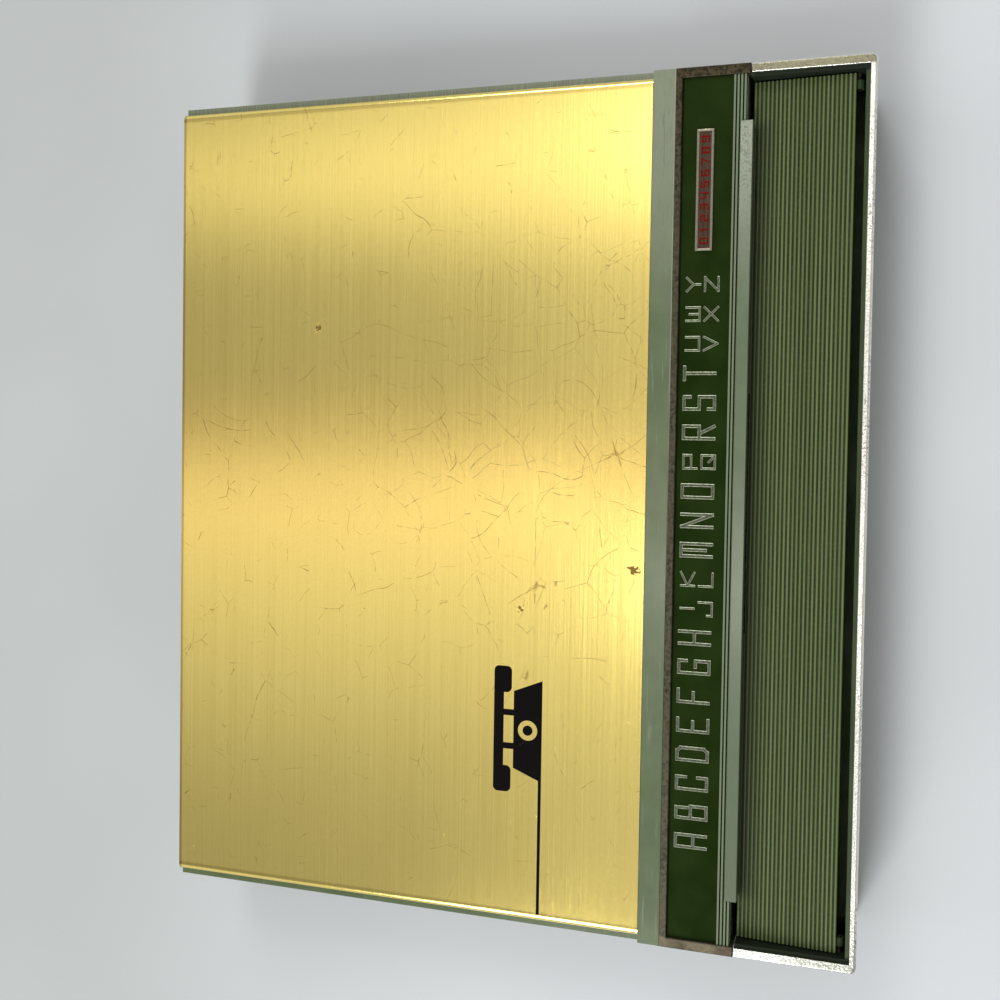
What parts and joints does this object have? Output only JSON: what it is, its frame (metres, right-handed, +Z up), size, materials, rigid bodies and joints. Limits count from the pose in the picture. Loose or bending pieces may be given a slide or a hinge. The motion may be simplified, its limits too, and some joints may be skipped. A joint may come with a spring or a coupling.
{
  "type": "pop-up telephone index",
  "caption": "Flat desk telephone index with a spring-up hinged lid, tabbed leaves on a rod and a ribbed push plate at the front.",
  "frame": {"origin": "centre of the bounding box's bottom, on the plane that the feet stand on", "axes": "+X along the hinge, to the right of a person who faces the letters; +Y to the hinge at the rear; +Z up"},
  "size_m": [0.166, 0.142, 0.024],
  "materials": {
    "tray_paint": "satin olive green paint",
    "lid_paint": "satin sage green paint",
    "gold_metal": "brushed, worn gold colour",
    "bright_frame": "bright plating, pitted",
    "trim_metal": "tarnished plating",
    "strip_plastic": "dark green",
    "ribbed_plastic": "olive green, ribbed",
    "letter_foil": "pale printed foil",
    "digit_ink": "red print",
    "mark_ink": "black print",
    "leaf_card": "cream card leaf",
    "card": "plain liner card",
    "pin_steel": "turned",
    "spring_steel": "spring temper",
    "rubber": "matte"
  },
  "bodies": {
    "base": {"base_tray": "tray_paint", "rubber_feet": "rubber", "front_frame": "bright_frame", "lid_pins": "pin_steel", "leaf_rod": "pin_steel", "push_pins": "pin_steel", "catch_spring": "spring_steel", "catch_rivets": "pin_steel", "push_spring_left": "spring_steel", "push_spring_right": "spring_steel", "lid_spring_left": "spring_steel", "lid_spring_right": "spring_steel"},
    "lid": {"lid_shell": "lid_paint", "gold_plate": "gold_metal", "strip_bezel": "trim_metal", "index_strip": "strip_plastic", "finger_lip": "lid_paint", "index_letters": "letter_foil", "number_plate": "bright_frame", "number_digits": "digit_ink", "telephone_mark": "mark_ink", "lid_liner": "card"},
    "push": {"push_plate": "ribbed_plastic"},
    "leaf_a": {"leaf_a": "leaf_card"},
    "leaf_b": {"leaf_b": "leaf_card"},
    "leaf_c": {"leaf_c": "leaf_card"},
    "leaf_d": {"leaf_d": "leaf_card"},
    "leaf_e": {"leaf_e": "leaf_card"},
    "leaf_f": {"leaf_f": "leaf_card"},
    "leaf_g": {"leaf_g": "leaf_card"},
    "leaf_h": {"leaf_h": "leaf_card"},
    "leaf_ij": {"leaf_ij": "leaf_card"},
    "leaf_kl": {"leaf_kl": "leaf_card"},
    "leaf_m": {"leaf_m": "leaf_card"},
    "leaf_n": {"leaf_n": "leaf_card"},
    "leaf_o": {"leaf_o": "leaf_card"},
    "leaf_pq": {"leaf_pq": "leaf_card"},
    "leaf_r": {"leaf_r": "leaf_card"},
    "leaf_s": {"leaf_s": "leaf_card"},
    "leaf_t": {"leaf_t": "leaf_card"},
    "leaf_uv": {"leaf_uv": "leaf_card"},
    "leaf_wx": {"leaf_wx": "leaf_card"},
    "leaf_yz": {"leaf_yz": "leaf_card"},
    "leaf_numbers": {"leaf_numbers": "leaf_card"}
  },
  "joints": [
    {"name": "lid_hinge", "type": "hinge", "parent": "base", "child": "lid", "pos_m": [0, 0.0662, 0.0125], "axis": [-1, 0, 0], "range_deg": [0, 95], "deforming": ["lid_spring_left", "lid_spring_right", "catch_spring"]},
    {"name": "push_hinge", "type": "hinge", "parent": "base", "child": "push", "pos_m": [0, -0.0678, 0.0204], "axis": [-1, 0, 0], "range_deg": [0, 4], "stiffness_Nm_per_rad": 0.3, "springref_deg": -2.86, "deforming": ["push_spring_left", "push_spring_right", "catch_spring"]},
    {"name": "leaf_a_hinge", "type": "hinge", "parent": "base", "child": "leaf_a", "pos_m": [0, 0.059, 0.0096], "axis": [-1, 0, 0], "range_deg": [0, 93.2]},
    {"name": "leaf_b_hinge", "type": "hinge", "parent": "base", "child": "leaf_b", "pos_m": [0, 0.059, 0.0096], "axis": [-1, 0, 0], "range_deg": [0, 92.72]},
    {"name": "leaf_c_hinge", "type": "hinge", "parent": "base", "child": "leaf_c", "pos_m": [0, 0.059, 0.0096], "axis": [-1, 0, 0], "range_deg": [0, 92.25]},
    {"name": "leaf_d_hinge", "type": "hinge", "parent": "base", "child": "leaf_d", "pos_m": [0, 0.059, 0.0096], "axis": [-1, 0, 0], "range_deg": [0, 91.77]},
    {"name": "leaf_e_hinge", "type": "hinge", "parent": "base", "child": "leaf_e", "pos_m": [0, 0.059, 0.0096], "axis": [-1, 0, 0], "range_deg": [0, 91.3]},
    {"name": "leaf_f_hinge", "type": "hinge", "parent": "base", "child": "leaf_f", "pos_m": [0, 0.059, 0.0096], "axis": [-1, 0, 0], "range_deg": [0, 90.82]},
    {"name": "leaf_g_hinge", "type": "hinge", "parent": "base", "child": "leaf_g", "pos_m": [0, 0.059, 0.0096], "axis": [-1, 0, 0], "range_deg": [0, 90.35]},
    {"name": "leaf_h_hinge", "type": "hinge", "parent": "base", "child": "leaf_h", "pos_m": [0, 0.059, 0.0096], "axis": [-1, 0, 0], "range_deg": [0, 89.87]},
    {"name": "leaf_ij_hinge", "type": "hinge", "parent": "base", "child": "leaf_ij", "pos_m": [0, 0.059, 0.0096], "axis": [-1, 0, 0], "range_deg": [0, 89.4]},
    {"name": "leaf_kl_hinge", "type": "hinge", "parent": "base", "child": "leaf_kl", "pos_m": [0, 0.059, 0.0096], "axis": [-1, 0, 0], "range_deg": [0, 88.92]},
    {"name": "leaf_m_hinge", "type": "hinge", "parent": "base", "child": "leaf_m", "pos_m": [0, 0.059, 0.0096], "axis": [-1, 0, 0], "range_deg": [0, 3.24]},
    {"name": "leaf_n_hinge", "type": "hinge", "parent": "base", "child": "leaf_n", "pos_m": [0, 0.059, 0.0096], "axis": [-1, 0, 0], "range_deg": [0, 2.95]},
    {"name": "leaf_o_hinge", "type": "hinge", "parent": "base", "child": "leaf_o", "pos_m": [0, 0.059, 0.0096], "axis": [-1, 0, 0], "range_deg": [0, 2.67]},
    {"name": "leaf_pq_hinge", "type": "hinge", "parent": "base", "child": "leaf_pq", "pos_m": [0, 0.059, 0.0096], "axis": [-1, 0, 0], "range_deg": [0, 2.38]},
    {"name": "leaf_r_hinge", "type": "hinge", "parent": "base", "child": "leaf_r", "pos_m": [0, 0.059, 0.0096], "axis": [-1, 0, 0], "range_deg": [0, 2.1]},
    {"name": "leaf_s_hinge", "type": "hinge", "parent": "base", "child": "leaf_s", "pos_m": [0, 0.059, 0.0096], "axis": [-1, 0, 0], "range_deg": [0, 1.81]},
    {"name": "leaf_t_hinge", "type": "hinge", "parent": "base", "child": "leaf_t", "pos_m": [0, 0.059, 0.0096], "axis": [-1, 0, 0], "range_deg": [0, 1.53]},
    {"name": "leaf_uv_hinge", "type": "hinge", "parent": "base", "child": "leaf_uv", "pos_m": [0, 0.059, 0.0096], "axis": [-1, 0, 0], "range_deg": [0, 1.24]},
    {"name": "leaf_wx_hinge", "type": "hinge", "parent": "base", "child": "leaf_wx", "pos_m": [0, 0.059, 0.0096], "axis": [-1, 0, 0], "range_deg": [0, 0.95]},
    {"name": "leaf_yz_hinge", "type": "hinge", "parent": "base", "child": "leaf_yz", "pos_m": [0, 0.059, 0.0096], "axis": [-1, 0, 0], "range_deg": [0, 0.67]},
    {"name": "leaf_numbers_hinge", "type": "hinge", "parent": "base", "child": "leaf_numbers", "pos_m": [0, 0.059, 0.0096], "axis": [-1, 0, 0], "range_deg": [0, 0.39]}
  ],
  "couplings": [
    {"joint": "leaf_a_hinge", "follows": "lid_hinge", "ratio": 0.98},
    {"joint": "leaf_b_hinge", "follows": "lid_hinge", "ratio": 0.975},
    {"joint": "leaf_c_hinge", "follows": "lid_hinge", "ratio": 0.97},
    {"joint": "leaf_d_hinge", "follows": "lid_hinge", "ratio": 0.965},
    {"joint": "leaf_e_hinge", "follows": "lid_hinge", "ratio": 0.96},
    {"joint": "leaf_f_hinge", "follows": "lid_hinge", "ratio": 0.955},
    {"joint": "leaf_g_hinge", "follows": "lid_hinge", "ratio": 0.95},
    {"joint": "leaf_h_hinge", "follows": "lid_hinge", "ratio": 0.945},
    {"joint": "leaf_ij_hinge", "follows": "lid_hinge", "ratio": 0.94},
    {"joint": "leaf_kl_hinge", "follows": "lid_hinge", "ratio": 0.935},
    {"joint": "leaf_m_hinge", "follows": "lid_hinge", "ratio": 0.033},
    {"joint": "leaf_n_hinge", "follows": "lid_hinge", "ratio": 0.03},
    {"joint": "leaf_o_hinge", "follows": "lid_hinge", "ratio": 0.027},
    {"joint": "leaf_pq_hinge", "follows": "lid_hinge", "ratio": 0.024},
    {"joint": "leaf_r_hinge", "follows": "lid_hinge", "ratio": 0.021},
    {"joint": "leaf_s_hinge", "follows": "lid_hinge", "ratio": 0.018},
    {"joint": "leaf_t_hinge", "follows": "lid_hinge", "ratio": 0.015},
    {"joint": "leaf_uv_hinge", "follows": "lid_hinge", "ratio": 0.012},
    {"joint": "leaf_wx_hinge", "follows": "lid_hinge", "ratio": 0.009},
    {"joint": "leaf_yz_hinge", "follows": "lid_hinge", "ratio": 0.006},
    {"joint": "leaf_numbers_hinge", "follows": "lid_hinge", "ratio": 0.003}
  ]
}
